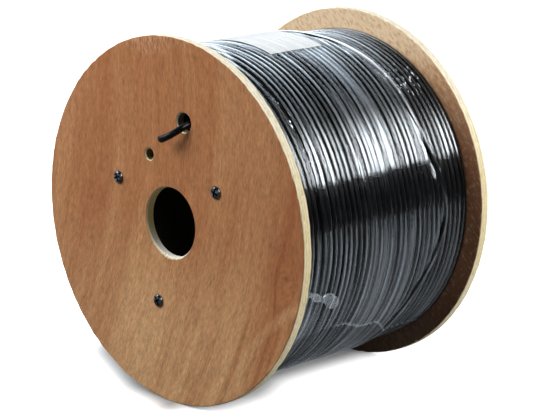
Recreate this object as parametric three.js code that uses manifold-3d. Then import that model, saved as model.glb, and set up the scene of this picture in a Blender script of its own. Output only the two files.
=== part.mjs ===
// Plywood cable drum, full of cable, lying on the rims of its two flanges.
// Millimetres, +Z up. The drum's axis runs along Y and the cable's inner end
// comes out of the flange at -Y.

import * as THREE from 'three';
import { mergeVertices } from 'three/addons/utils/BufferGeometryUtils.js';
import Module from 'manifold-3d';

const wasm = await Module();
wasm.setup();
const { Manifold, Mesh: ManifoldMesh } = wasm;

// Driving dimensions ---------------------------------------------------------

const seat = 0.3; // gap kept between two pieces that touch

const flangeRadius = 200;
const flangeThickness = 11;
const flangeChamfer = 1.5;
const traverse = 263; // clear width between the flanges
const spindleRadius = 38;
const holeChamfer = 0.8;

const barrelRadius = 101;
const barrelWall = 5;
const barrelSeatDepth = 3; // groove in each flange that the barrel stands in

const cableDiameter = 7.5;
const cableLayers = 11;
const cablePitch = 7.7; // along the drum, from one turn to the next
const turnRelief = 2.4; // depth of the valley between two turns
const lastLayerWidth = 206; // from the front flange to where the outermost layer ends
const layerDrop = 5; // from the outermost layer down to the turns past its end

const filmThickness = 0.4;
const filmSag = 1.8; // how far the film dips between two turns

const labelThickness = 0.3;
const labelWidth = 78; // along the drum
const labelLength = 100; // round the drum
const labelFromFront = 87; // from the front flange to the label's near edge
const labelOffset = 5; // of its middle, off the top of the winding

const boltRadius = 3;
const boltHoleRadius = 3.5;
const boltHeadRadius = 7;
const boltHeadHeight = 3.2;
const boltThreadOut = 2; // thread left past the nut
const recessWidth = 1.8;
const recessLength = 8.6;
const recessDepth = 2;

// The bolts pass inside the barrel and are drilled by eye, so each has its own
// gap to the barrel. Angles are in degrees from +X towards +Z, seen from the front.
const leftBolt = { gap: 3, angle: 156, turned: 20 };
const rightBolt = { gap: 8.5, angle: 32, turned: 70 };
const lowerBolt = { gap: 1, angle: -102.5, turned: 35 };

const washerRadius = 9;
const washerThickness = 1.6;
const nutAcrossFlats = 10;
const nutHeight = 5;

const exitRadius = 10.5; // of the hole that the cable's inner end comes out of
const exitGap = 2; // from the barrel to the exit hole
const exitAngle = 78.5;
const driveHole = { radius: 6.25, place: { radius: 76.5, angle: 115 } };

// The tail leans on the edge of the exit hole and bends once, to lie along the
// flange. Its bend and tip are this far from the hole's centre.
const tailLead = 5; // out of the face before the bend starts
const tailBend = { x: 0.7, out: 13.5, z: -11.2 };
const tailTip = { x: -22, out: 13, z: -19 };

const rimSides = 72;
const turnedSides = 32;
const boltSides = 16;
const tailSides = 10;

// Worked out from the above --------------------------------------------------

const drumWidth = traverse + 2 * flangeThickness;
const nutStack = seat + washerThickness + seat + nutHeight + boltThreadOut;
const headStack = seat + boltHeadHeight;
const overall = headStack + drumWidth + nutStack;

const frontFace = headStack - overall / 2; // y of the front flange's outer face
const frontInner = frontFace + flangeThickness;
const backInner = frontInner + traverse;
const backFace = backInner + flangeThickness;

const barrelBore = barrelRadius - barrelWall;
const boltPlaces = [leftBolt, rightBolt, lowerBolt].map(({ gap, angle, turned }) => ({
  radius: barrelBore - gap - boltRadius,
  angle,
  turned,
}));
const exitPlace = { radius: barrelRadius + exitGap + exitRadius, angle: exitAngle };

const windingBore = barrelRadius + seat;
const windingRadius = windingBore + cableLayers * cableDiameter;
const windingWidth = traverse - 2 * seat;
const labelRadius = windingRadius + seat;
const filmRadius = labelRadius + labelThickness + seat;

const materials = {
  plywood: new THREE.MeshStandardMaterial({ color: 0xa8744c, roughness: 0.7, metalness: 0 }),
  board: new THREE.MeshStandardMaterial({ color: 0x9a7b55, roughness: 0.85, metalness: 0 }),
  cable: new THREE.MeshStandardMaterial({ color: 0x141518, roughness: 0.4, metalness: 0 }),
  film: new THREE.MeshStandardMaterial({ color: 0x3c4146, roughness: 0.15, metalness: 0 }),
  paper: new THREE.MeshStandardMaterial({ color: 0xf2f2ee, roughness: 0.6, metalness: 0 }),
  blackSteel: new THREE.MeshStandardMaterial({ color: 0x1c1c1e, roughness: 0.4, metalness: 0.9 }),
  zincSteel: new THREE.MeshStandardMaterial({ color: 0xb4b8bc, roughness: 0.4, metalness: 1 }),
};

// Helpers --------------------------------------------------------------------

function bare(geometry) {
  const plain = geometry.index ? geometry.clone() : geometry;
  plain.deleteAttribute('normal');
  plain.deleteAttribute('uv');
  return mergeVertices(plain, 1e-5);
}

function toSolid(geometry) {
  const plain = bare(geometry);
  return new Manifold(
    new ManifoldMesh({
      numProp: 3,
      vertProperties: new Float32Array(plain.attributes.position.array),
      triVerts: new Uint32Array(plain.index.array),
    }),
  );
}

function toGeometry(solid) {
  const mesh = solid.getMesh();
  const geometry = new THREE.BufferGeometry();
  geometry.setAttribute('position', new THREE.BufferAttribute(mesh.vertProperties, 3));
  geometry.setIndex(new THREE.BufferAttribute(mesh.triVerts, 1));
  return geometry;
}

function cut(body, tools) {
  return tools.reduce((rest, tool) => rest.subtract(toSolid(tool)), toSolid(body));
}

// A profile of [radius, y] points, in order up its outer side and down its
// inner side, turned about the drum's axis. A flat of it faces the floor.
function turned(profile, sides) {
  const points = [...profile, profile[0]].map(([radius, y]) => new THREE.Vector2(radius, y));
  return new THREE.LatheGeometry(points, sides, Math.PI / sides);
}

function ring(inner, outer, y0, y1, sides) {
  const profile = [
    [outer, y0],
    [outer, y1],
    [inner, y1],
    [inner, y0],
  ];
  return turned(profile, sides);
}

function at(place, y) {
  const angle = THREE.MathUtils.degToRad(place.angle);
  return new THREE.Vector3(place.radius * Math.cos(angle), y, place.radius * Math.sin(angle));
}

function rod(radius, y0, y1, place, sides) {
  const geometry = new THREE.CylinderGeometry(radius, radius, y1 - y0, sides);
  const middle = at(place, (y0 + y1) / 2);
  return geometry.translate(middle.x, middle.y, middle.z);
}

// A drill that goes through one flange and breaks both edges of its hole.
function drill(radius, outerFace, innerFace, place, sides) {
  const y0 = Math.min(outerFace, innerFace);
  const y1 = Math.max(outerFace, innerFace);
  const past = 1;
  const wide = radius + holeChamfer + past;
  const profile = [
    [0, y0 - past],
    [wide, y0 - past],
    [radius, y0 + holeChamfer],
    [radius, y1 - holeChamfer],
    [wide, y1 + past],
    [0, y1 + past],
  ];
  const points = profile.map(([r, y]) => new THREE.Vector2(r, y));
  const middle = at(place, 0);
  return new THREE.LatheGeometry(points, sides).translate(middle.x, 0, middle.z);
}

// Pieces ---------------------------------------------------------------------

function flangeDisc(outerFace, innerFace, holes) {
  const y0 = Math.min(outerFace, innerFace);
  const y1 = Math.max(outerFace, innerFace);
  const profile = [
    [spindleRadius + holeChamfer, y0],
    [flangeRadius - flangeChamfer, y0],
    [flangeRadius, y0 + flangeChamfer],
    [flangeRadius, y1 - flangeChamfer],
    [flangeRadius - flangeChamfer, y1],
    [spindleRadius + holeChamfer, y1],
    [spindleRadius, y1 - holeChamfer],
    [spindleRadius, y0 + holeChamfer],
  ];
  const inward = Math.sign(innerFace - outerFace);
  const seatFloor = innerFace - inward * barrelSeatDepth;
  const seatMouth = innerFace + inward;
  const barrelSeat = ring(
    barrelBore - seat,
    barrelRadius + seat,
    Math.min(seatFloor, seatMouth),
    Math.max(seatFloor, seatMouth),
    turnedSides,
  );
  const drills = holes.map((hole) =>
    drill(hole.radius, outerFace, innerFace, hole.place, hole.sides),
  );
  return toGeometry(cut(turned(profile, rimSides), [barrelSeat, ...drills]));
}

const boltHoles = boltPlaces.map((place) => ({ radius: boltHoleRadius, place, sides: boltSides }));

function flangeFront() {
  const exitHole = { radius: exitRadius, place: exitPlace, sides: 32 };
  const holes = [...boltHoles, exitHole, { ...driveHole, sides: 24 }];
  return flangeDisc(frontFace, frontInner, holes);
}

function flangeBack() {
  return flangeDisc(backFace, backInner, boltHoles);
}

function barrel() {
  const reach = barrelSeatDepth - seat;
  return bare(
    ring(barrelBore, barrelRadius, frontInner - reach, backInner + reach, turnedSides),
  );
}

// The turns that show: their middles and the radius of their crests. The outermost
// layer ends short of the back flange, and the turns past its end lie lower.
function outerTurns() {
  const count = Math.floor(windingWidth / cablePitch);
  const pitch = windingWidth / count;
  return Array.from({ length: count }, (_, turn) => {
    const fromFront = seat + (turn + 0.5) * pitch;
    const crest = fromFront < lastLayerWidth ? windingRadius : windingRadius - layerDrop;
    return { middle: frontInner + fromFront, pitch, crest };
  });
}

// The steps that the edges of the layers leave on one end, from the bore outwards.
function endSteps(end, inward, crest) {
  const steps = [];
  for (let layer = 0; layer < cableLayers; layer += 1) {
    const low = windingBore + layer * cableDiameter;
    const middle = low + cableDiameter / 2;
    if (middle < crest - turnRelief) {
      steps.push([low, end + inward * turnRelief], [middle, end]);
    }
  }
  return [...steps, [crest - turnRelief, end + (inward * turnRelief) / 2]];
}

// The layers show as steps on the two ends and the turns as ridges outside.
function cableWinding() {
  const turns = outerTurns();
  const outside = turns.flatMap(({ middle, pitch, crest }, index) => {
    const flat = 0.14 * pitch;
    const top = [
      [crest, middle - flat],
      [crest, middle + flat],
    ];
    const next = turns[index + 1];
    if (!next) return top;
    return [...top, [Math.min(crest, next.crest) - turnRelief, middle + pitch / 2]];
  });
  const profile = [
    ...endSteps(frontInner + seat, 1, turns[0].crest),
    ...outside,
    ...endSteps(backInner - seat, -1, turns.at(-1).crest).reverse(),
  ];
  return bare(turned(profile, turnedSides));
}

function cableTail() {
  const lean = exitRadius - cableDiameter / 2 - 2 * seat;
  const fromHole = (x, y, z) => at(exitPlace, 0).add(new THREE.Vector3(x, y, z));
  const path = new THREE.CubicBezierCurve3(
    fromHole(lean, frontInner, 0),
    fromHole(lean, frontFace - tailLead, 0),
    fromHole(tailBend.x, frontFace - tailBend.out, tailBend.z),
    fromHole(tailTip.x, frontFace - tailTip.out, tailTip.z),
  );
  const section = new THREE.Shape();
  section.absarc(0, 0, cableDiameter / 2, 0, 2 * Math.PI);
  return bare(
    new THREE.ExtrudeGeometry(section, {
      steps: 24,
      curveSegments: tailSides / 2,
      extrudePath: path,
      bevelEnabled: false,
    }),
  );
}

// A strip cut out of a thin turned sleeve, so that it lies on the turns.
function label() {
  const y0 = frontInner + labelFromFront;
  const sleeve = ring(labelRadius, labelRadius + labelThickness, y0, y0 + labelWidth, turnedSides);
  const block = new THREE.BoxGeometry(labelLength, 2 * labelWidth, windingRadius);
  block.translate(labelOffset, y0 + labelWidth / 2, windingRadius);
  return toGeometry(toSolid(sleeve).intersect(toSolid(block)));
}

// The film dips between the turns, but lies flat over the label.
function stretchFilm() {
  const labelStart = frontInner + labelFromFront;
  const clearOfLabel = (y, margin) =>
    y < labelStart - margin || y > labelStart + labelWidth + margin;
  const turns = outerTurns();
  const line = turns.flatMap(({ middle, pitch, crest }, index) => {
    const points = clearOfLabel(middle, 0.4 * pitch) ? [[crest, middle]] : [];
    const next = turns[index + 1];
    const valley = middle + pitch / 2;
    if (next && clearOfLabel(valley, pitch)) {
      points.push([Math.max(crest, next.crest) - filmSag, valley]);
    }
    return points;
  });
  line.unshift([turns[0].crest, frontInner + seat]);
  line.push([turns.at(-1).crest, backInner - seat]);
  const inner = filmRadius - windingRadius;
  const profile = [
    ...line.map(([radius, y]) => [radius + inner + filmThickness, y]),
    ...line.reverse().map(([radius, y]) => [radius + inner, y]),
  ];
  return bare(turned(profile, turnedSides));
}

function tieBolt(place) {
  const neck = frontFace - seat;
  const top = neck - boltHeadHeight;
  const end = backFace + nutStack;
  const profile = [
    [0, top],
    [0.45 * boltHeadRadius, top + 0.1 * boltHeadHeight],
    [0.8 * boltHeadRadius, top + 0.42 * boltHeadHeight],
    [boltHeadRadius, neck - 0.2 * boltHeadHeight],
    [boltHeadRadius, neck],
    [boltRadius, neck],
    [boltRadius, end - 0.8],
    [boltRadius - 0.8, end],
    [0, end],
  ];
  const points = profile.map(([radius, y]) => new THREE.Vector2(radius, y));
  const middle = at(place, 0);
  const blank = new THREE.LatheGeometry(points, boltSides).translate(middle.x, 0, middle.z);
  const arms = [0, 90].map((quarter) => {
    const arm = new THREE.BoxGeometry(recessLength, 2 * recessDepth, recessWidth);
    arm.rotateY(THREE.MathUtils.degToRad(place.turned + quarter));
    return arm.translate(middle.x, top, middle.z);
  });
  return toGeometry(cut(blank, arms));
}

function washer(place) {
  const y0 = backFace + seat;
  const disc = rod(washerRadius, y0, y0 + washerThickness, place, 24);
  const hole = rod(boltHoleRadius, y0 - 1, y0 + washerThickness + 1, place, boltSides);
  return toGeometry(cut(disc, [hole]));
}

function nut(place) {
  const y0 = backFace + seat + washerThickness + seat;
  const hexRadius = nutAcrossFlats / 2 / Math.cos(Math.PI / 6);
  const hex = rod(hexRadius, y0, y0 + nutHeight, place, 6);
  const hole = rod(boltRadius + seat, y0 - 1, y0 + nutHeight + 1, place, boltSides);
  return toGeometry(cut(hex, [hole]));
}

// Assembly -------------------------------------------------------------------

const drum = new THREE.Group();
drum.name = 'cable_drum';

function add(name, geometry, material) {
  const mesh = new THREE.Mesh(geometry, material);
  mesh.name = name;
  drum.add(mesh);
}

add('flange_front', flangeFront(), materials.plywood);
add('flange_back', flangeBack(), materials.plywood);
add('barrel', barrel(), materials.board);
add('cable_winding', cableWinding(), materials.cable);
add('cable_tail', cableTail(), materials.cable);
add('label', label(), materials.paper);
add('stretch_film', stretchFilm(), materials.film);
boltPlaces.forEach((place, index) => {
  add(`tie_bolt_${index + 1}`, tieBolt(place), materials.blackSteel);
  add(`washer_${index + 1}`, washer(place), materials.zincSteel);
  add(`nut_${index + 1}`, nut(place), materials.zincSteel);
});

export default drum;
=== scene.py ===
import math
from types import SimpleNamespace

import bmesh
import bpy
import numpy as np
from bpy.props import FloatProperty, FloatVectorProperty, IntProperty, PointerProperty
from mathutils import Matrix, Vector


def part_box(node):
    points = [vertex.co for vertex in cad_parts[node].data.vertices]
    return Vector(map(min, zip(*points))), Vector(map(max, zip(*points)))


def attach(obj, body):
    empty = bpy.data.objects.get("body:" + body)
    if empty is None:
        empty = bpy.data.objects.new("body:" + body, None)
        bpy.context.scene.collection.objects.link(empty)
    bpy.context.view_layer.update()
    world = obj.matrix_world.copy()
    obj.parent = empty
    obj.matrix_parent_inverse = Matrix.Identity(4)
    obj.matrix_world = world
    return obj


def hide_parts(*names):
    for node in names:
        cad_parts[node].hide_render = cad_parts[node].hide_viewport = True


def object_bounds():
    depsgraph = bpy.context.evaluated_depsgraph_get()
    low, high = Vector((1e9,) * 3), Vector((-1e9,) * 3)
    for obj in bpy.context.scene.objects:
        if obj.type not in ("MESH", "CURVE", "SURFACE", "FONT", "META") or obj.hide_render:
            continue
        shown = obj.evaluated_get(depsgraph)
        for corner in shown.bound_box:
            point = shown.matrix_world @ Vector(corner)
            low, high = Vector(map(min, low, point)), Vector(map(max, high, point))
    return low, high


# A plywood drum full of black cable, wrapped in clear stretch film. Metres, +Z up. The
# drum lies on the rims of its flanges, with its axis along Y and its front flange at -Y.
# Angles round the axis run from +X towards +Z.

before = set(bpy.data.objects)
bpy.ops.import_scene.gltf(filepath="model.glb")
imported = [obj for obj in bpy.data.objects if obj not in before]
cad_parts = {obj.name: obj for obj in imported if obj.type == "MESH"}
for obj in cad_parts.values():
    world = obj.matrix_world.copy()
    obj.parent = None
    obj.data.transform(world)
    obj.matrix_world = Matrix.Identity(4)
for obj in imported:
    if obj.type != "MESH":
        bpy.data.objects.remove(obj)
cad_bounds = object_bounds()

bl_info = {
    "name": "Plywood Cable Drum",
    "version": (1, 0, 0),
    "blender": (4, 5, 0),
    "location": "View3D > Sidebar > Cable Drum",
    "description": "Builds a plywood drum of black cable wrapped in stretch film",
    "category": "Object",
}


# Places from the frame ---------------------------------------------------------------

turned_sides = 32  # of the frame's barrel, winding and film
clearance = 0.0003  # between two pieces that touch
jacket_inset = 0.00005  # of a drawn cable's surface inside its true one
crest_drop = 0.00045  # of the turns' crests below the frame's winding
last_turn_drop = 0.0003  # of the last turn's crest below the frame's winding
label_lift = 0.0003  # of the label's upper side over the turns
film_lift = 0.00012  # of the film over what it lies on


def polygon_radius(node):
    """Radius of a turned node's corners: one of its flats faces the floor."""
    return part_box(node)[1].z / math.cos(math.pi / turned_sides)


def middle_of(node):
    """The x and z of a node's middle."""
    low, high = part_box(node)
    return (low.x + high.x) / 2, (low.z + high.z) / 2


front_face, front_inner = (corner.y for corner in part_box("flange_front"))
back_inner, back_face = (corner.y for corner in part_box("flange_back"))
flange_thickness = back_face - back_inner
flange_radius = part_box("flange_front")[1].z
barrel_radius = polygon_radius("barrel")
winding_radius = polygon_radius("cable_winding")
film_radius = polygon_radius("stretch_film")
floor_level = cad_bounds[0][2]
bolt_names = sorted(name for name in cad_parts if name.startswith("tie_bolt"))


def srgb(red, green, blue):
    """A colour's linear values from its values on a screen, 0 to 255."""
    return tuple(
        c / 12.92 if c <= 0.04045 else ((c + 0.055) / 1.055) ** 2.4
        for c in (red / 255, green / 255, blue / 255)
    )


def scaled(colour, share):
    return tuple(share * c for c in colour)


def length(name, description, default):
    return FloatProperty(
        name=name, description=description, default=default, min=0, unit="LENGTH", precision=4
    )


def angle(name, description, degrees):
    return FloatProperty(
        name=name, description=description, default=math.radians(degrees), unit="ROTATION"
    )


def colour(name, description, red, green, blue):
    return FloatVectorProperty(
        name=name,
        description=description,
        default=srgb(red, green, blue),
        subtype="COLOR",
        min=0,
        max=1,
    )


# Settings ----------------------------------------------------------------------------

class FlangeSettings(bpy.types.PropertyGroup):
    """Sizes and colours of the two plywood flanges"""

    spindle_radius: length("Spindle bore", "Radius of the bore in each flange", 0.038)
    edge_break: length("Edge break", "Width of the broken edge round each face", 0.0009)
    hole_break: length("Hole break", "Width of the broken edge round each hole", 0.0013)
    bolt_hole: length("Bolt hole", "Radius of a tie bolt's hole", 0.0035)
    exit_radius: length("Exit hole", "Radius of the hole for the cable's inner end", 0.0105)
    exit_reach: length("Exit reach", "From the axis to the exit hole", 0.1135)
    exit_angle: angle("Exit angle", "Place of the exit hole round the axis", 78.5)
    drive_radius: length("Drive hole", "Radius of the drive pin hole", 0.00625)
    drive_reach: length("Drive reach", "From the axis to the drive pin hole", 0.0765)
    drive_angle: angle("Drive angle", "Place of the drive pin hole round the axis", 115)
    veneer: length("Face veneer", "Thickness of the face veneer", 0.00035)
    knot_side: length("Knot, sideways", "From the axis to the right, to the knot", 0.1745)
    knot_drop: length("Knot, down", "From the axis downwards, to the knot", 0.029)
    face: colour("Face", "Main colour of the outer veneer", 165, 110, 70)
    face_red: colour("Face, red", "Red streaks of the outer veneer", 146, 87, 54)
    face_tan: colour("Face, tan", "Pale parts of the outer veneer", 187, 138, 94)
    inside: colour("Inside", "Main colour of the inner veneer", 228, 196, 158)
    core: colour("Core", "Colour of the plies at the rim", 234, 228, 192)
    glue: colour("Glue line", "Colour of the lines between plies", 150, 118, 78)


class CableSettings(bpy.types.PropertyGroup):
    """Sizes and colours of the cable"""

    diameter: length("Diameter", "Diameter of the cable", 0.0075)
    turns: IntProperty(name="Turns", description="Turns side by side in a layer", default=34)
    layers: IntProperty(name="Layers", description="Layers of cable", default=11)
    end_drop: length("End drop", "How far the layer under the last one lies below it", 0.006)
    jacket: colour("Jacket", "Colour of the cable's jacket", 10, 11, 13)


class WrapSettings(bpy.types.PropertyGroup):
    """Sizes and colours of the film and the label"""

    sag: length("Sag", "How far the film dips between two turns", 0.003)
    film: colour("Film", "Tint of the film's reflection", 240, 247, 252)
    paper: colour("Paper", "Colour of the label", 200, 200, 198)


class BoltSettings(bpy.types.PropertyGroup):
    """Sizes and colours of the bolts, washers and nuts"""

    shank: length("Shank", "Radius of a bolt's shank", 0.003)
    recess: length("Recess", "Length of the cross recess", 0.0126)
    thread: length("Thread", "Length of the thread at a bolt's end", 0.02)
    across_flats: length("Across flats", "Width of a nut across its flats", 0.01)
    black: colour("Black", "Colour of the bolts' black finish", 104, 105, 108)
    zinc: colour("Zinc", "Colour of the washers and nuts", 190, 193, 196)


class StageSettings(bpy.types.PropertyGroup):
    """Camera, lamps and floor"""

    azimuth: angle("Azimuth", "Camera's angle round the drum", 45.24)
    elevation: angle("Elevation", "Camera's angle above the drum", 13.76)
    distance: length("Distance", "From the camera to the drum", 2.422)
    side_step: length("Side step", "Camera's shift to its own right", 0.0153)
    drop: length("Drop", "Camera's shift downwards", 0.0104)
    focal_length: FloatProperty(name="Lens", description="Focal length", default=140.9)
    world: FloatProperty(name="World", description="Strength of the light all round", default=0.35)
    floor: colour("Floor", "Colour of the floor", 244, 244, 244)


class DrumSettings(bpy.types.PropertyGroup):
    """All settings of the cable drum"""

    flange: PointerProperty(type=FlangeSettings)
    cable: PointerProperty(type=CableSettings)
    wrap: PointerProperty(type=WrapSettings)
    bolt: PointerProperty(type=BoltSettings)
    stage: PointerProperty(type=StageSettings)


# Shader building ---------------------------------------------------------------------

class Wire:
    """A shader socket. Python's operators on it add Math nodes."""

    def __init__(self, tree, socket):
        self.tree = tree
        self.socket = socket

    def __getitem__(self, name):
        """Another output of the same node."""
        return Wire(self.tree, self.socket.node.outputs[name])

    def __add__(self, other):
        return self.tree.math("ADD", self, other)

    __radd__ = __add__

    def __sub__(self, other):
        return self.tree.math("SUBTRACT", self, other)

    def __rsub__(self, other):
        return self.tree.math("SUBTRACT", other, self)

    def __mul__(self, other):
        return self.tree.math("MULTIPLY", self, other)

    __rmul__ = __mul__

    def __truediv__(self, other):
        return self.tree.math("DIVIDE", self, other)

    def __pow__(self, other):
        return self.tree.math("POWER", self, other)

    def __abs__(self):
        return self.tree.math("ABSOLUTE", self)

    def __lt__(self, other):
        return self.tree.math("LESS_THAN", self, other)


class ShaderTree:
    """The nodes of one material or world."""

    def __init__(self, owner):
        owner.use_nodes = True
        self.owner = owner
        self.nodes = owner.node_tree.nodes
        self.links = owner.node_tree.links
        self.nodes.clear()

    def node(self, kind, settings=None, inputs=None):
        """Adds a node, sets it, then its sockets, and returns its first output."""
        made = self.nodes.new(kind)
        for name, value in (settings or {}).items():
            setattr(made, name, value)
        for key, value in (inputs or {}).items():
            if isinstance(value, Wire):
                self.links.new(value.socket, made.inputs[key])
            else:
                made.inputs[key].default_value = value
        return Wire(self, made.outputs[0]) if made.outputs else None

    def math(self, operation, *values):
        return self.node("ShaderNodeMath", {"operation": operation}, dict(enumerate(values)))

    def clamp(self, value):
        return self.node("ShaderNodeClamp", {}, {"Value": value})

    def smooth(self, value, low, high):
        """0 below low and 1 above high, or the other way round, with a soft step between."""
        settings = {"interpolation_type": "SMOOTHSTEP"}
        return self.node("ShaderNodeMapRange", settings, {0: value, 1: low, 2: high})

    def mix(self, share, first, second, blend="MIX"):
        """A colour between two."""
        first, second = (c if isinstance(c, Wire) else (*c, 1) for c in (first, second))
        settings = {"data_type": "RGBA", "blend_type": blend}
        return self.node("ShaderNodeMix", settings, {0: share, 6: first, 7: second})[2]

    def coats(self, base, *coats):
        """Colours laid over a base one after another, each as its share and its colour."""
        for share, over in coats:
            base = self.mix(share, base, over)
        return base

    def vector(self, x, y, z):
        return self.node("ShaderNodeCombineXYZ", {}, {0: x, 1: y, 2: z})

    def noise(self, x, y, z, scale=1.0, detail=2.0, roughness=0.5, distortion=0.0):
        inputs = {
            "Vector": self.vector(x, y, z),
            "Scale": scale,
            "Detail": detail,
            "Roughness": roughness,
            "Distortion": distortion,
        }
        return self.node("ShaderNodeTexNoise", {"noise_dimensions": "3D"}, inputs)

    def place(self, coordinates="Object"):
        """The surface's place, as three wires."""
        point = self.node("ShaderNodeTexCoord")[coordinates]
        split = self.node("ShaderNodeSeparateXYZ", {}, {0: point})
        return split["X"], split["Y"], split["Z"]

    def round_the_axis(self, radius):
        """Arc length round the drum's axis, and the place along it."""
        x, y, z = self.place()
        return self.math("ARCTAN2", z, x) * radius, y

    def bump(self, height, distance, strength=1.0):
        inputs = {"Height": height, "Distance": distance, "Strength": strength}
        return self.node("ShaderNodeBump", {}, inputs)

    def finish(self, inputs):
        """Gives the material its shader, and returns the material."""
        shader = self.node("ShaderNodeBsdfPrincipled", {}, inputs)
        self.node("ShaderNodeOutputMaterial", {}, {"Surface": shader})
        return self.owner


def material_tree(name):
    return ShaderTree(bpy.data.materials.new(name))


# Mesh building -----------------------------------------------------------------------

def add_object(name, data):
    obj = bpy.data.objects.new(name, data)
    bpy.context.scene.collection.objects.link(obj)
    return obj


def new_object(name, vertices, faces):
    """A mesh object with its faces turned outwards."""
    mesh = bpy.data.meshes.new(name)
    mesh.from_pydata(np.asarray(vertices).tolist(), [], [list(face) for face in faces])
    shell = bmesh.new()
    shell.from_mesh(mesh)
    bmesh.ops.recalc_face_normals(shell, faces=shell.faces)
    shell.to_mesh(mesh)
    shell.free()
    return add_object(name, mesh)


def finish_piece(obj, material, slot, *nodes, sharp=32):
    """Gives a piece its material and shading, and ties it to the frame."""
    obj.data.materials.clear()
    obj.data.materials.append(material)
    obj.data.shade_smooth()
    obj.data.set_sharp_from_angle(angle=math.radians(sharp))
    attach(obj, "root")
    if nodes:
        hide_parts(*nodes)


def grid_faces(rows, columns, close_rows=True, close_columns=True):
    """Quads of a grid whose vertices run column by column, row after row."""
    row = np.arange(rows if close_rows else rows - 1)[:, None]
    column = np.arange(columns if close_columns else columns - 1)
    here, below = row * columns, (row + 1) % rows * columns
    after = (column + 1) % columns
    quads = [here + column, here + after, below + after, below + column]
    return np.stack(quads, axis=-1).reshape(-1, 4).tolist()


def tube_faces(rows, sides):
    """Faces of a tube of rings, with a flat face at each end."""
    last = (rows - 1) * sides
    ends = [list(range(sides)), list(range(last, last + sides))]
    return grid_faces(rows, sides, close_rows=False) + ends


def ring_angles(sides):
    return np.arange(sides) * 2 * math.pi / sides


def ring_rows(rows, sides):
    """Rows of (radius, place along the axis) as two arrays, with a value for each side."""
    return [np.array([np.broadcast_to(row, sides) for row in part]) for part in zip(*rows)]


def turned_points(radius, along, angles):
    """Points at a radius, a place along the axis and an angle, row after row."""
    radius, along, angles = np.broadcast_arrays(radius, along, angles)
    points = np.stack([radius * np.cos(angles), along, radius * np.sin(angles)], axis=-1)
    return points.reshape(-1, 3)


def turned_object(name, rows, sides, centre=(0, 0), capped=False):
    """Rows of (radius, place along the axis), turned about an axis through centre.

    A row's radius or place may differ from side to side. The last row closes on the
    first one, or both are capped with a flat face.
    """
    points = turned_points(*ring_rows(rows, sides), ring_angles(sides))
    points += (centre[0], 0, centre[1])
    faces = tube_faces if capped else grid_faces
    return new_object(name, points, faces(len(rows), sides))


def combine(obj, tools, operation="DIFFERENCE"):
    """Cuts the tools out of obj, or keeps what they share, and removes them."""
    for tool in tools:
        modifier = obj.modifiers.new("combine", "BOOLEAN")
        modifier.operation = operation
        modifier.solver = "EXACT"
        modifier.object = tool
    graph = bpy.context.evaluated_depsgraph_get()
    mesh = bpy.data.meshes.new_from_object(obj.evaluated_get(graph))
    obj.modifiers.clear()
    obj.data = mesh
    for tool in tools:
        bpy.data.objects.remove(tool)
    return obj


def at(reach, turn):
    """The x and z of a place on a flange."""
    return reach * math.cos(turn), reach * math.sin(turn)


def waves(seed, angles, rows, lowest, highest):
    """Rows of smooth random waves round the axis, mostly between -1 and 1."""
    rng = np.random.default_rng(seed)
    orders = np.arange(lowest, highest + 1)
    phase = rng.uniform(0, 2 * math.pi, (rows, len(orders), 1))
    height = rng.normal(0, 1, (rows, len(orders), 1))
    total = (height * np.cos(orders[None, :, None] * angles + phase)).sum(axis=1)
    return total / math.sqrt(len(orders))


def hump(angles, centre, half_width):
    """1 at an angle, falling smoothly to 0 at half_width from it, in degrees."""
    away = np.angle(np.exp(1j * (angles - math.radians(centre))))
    share = np.clip(1 - np.abs(away) / math.radians(half_width), 0, 1)
    return share * share * (3 - 2 * share)


def smooth_step(value, low, high):
    share = np.clip((value - low) / (high - low), 0, 1)
    return share * share * (3 - 2 * share)


def bell(value, middle, width):
    """1 at the middle, falling off softly on both sides."""
    return np.exp(-(((value - middle) / width) ** 2))


def read_off(table, values, period=None):
    """Values read off a table, with straight lines between its entries."""
    return np.interp(values, list(table), list(table.values()), period=period)


# Materials ---------------------------------------------------------------------------

def veneer_grain(tree, settings):
    """The rings of a knot, and noises along the grain, which flows round the knot.

    The grain leans to the right, more so low down.
    """
    x, _, z = tree.place()
    side = x - settings.knot_side
    up = z + settings.knot_drop
    wobble = tree.noise(side, 0, up, scale=22) - 0.5
    ring = tree.math("SQRT", side * side * 2.2 + up * up * 0.7) + wobble * 0.012
    across = x - z * (0.2 - z * 0.75)
    along = z + x * 0.2
    bend = tree.noise(across * 4, 0, along * 2.2)
    across = across + (bend - 0.5) * 0.045 - side * tree.smooth(ring, 0.05, 0.004) * 0.9
    # Each one's scale across the grain, its level, its scale along the grain, its detail
    # and its roughness.
    noises = {
        "broad": (13, 0, 1.8, 3, 0.5),
        "streak": (60, 1, 2.2, 3, 0.55),
        "fibre": (540, 2, 130, 3, 0.6),
        "pore": (800, 3, 160, 2, 0.5),
        "mottle": (170, 4, 40, 3, 0.65),
        "fleck": (260, 6, 120, 3, 0.6),
        "thin": (190, 7, 6, 3, 0.6),
    }
    grain = SimpleNamespace(ring=ring)
    for name, (wide, level, long, detail, rough) in noises.items():
        noise = tree.noise(across * wide, level, along * long, detail=detail, roughness=rough)
        setattr(grain, name, noise)
    grain.pores = tree.smooth(grain.pore, 0.52, 0.72)
    return grain


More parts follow.
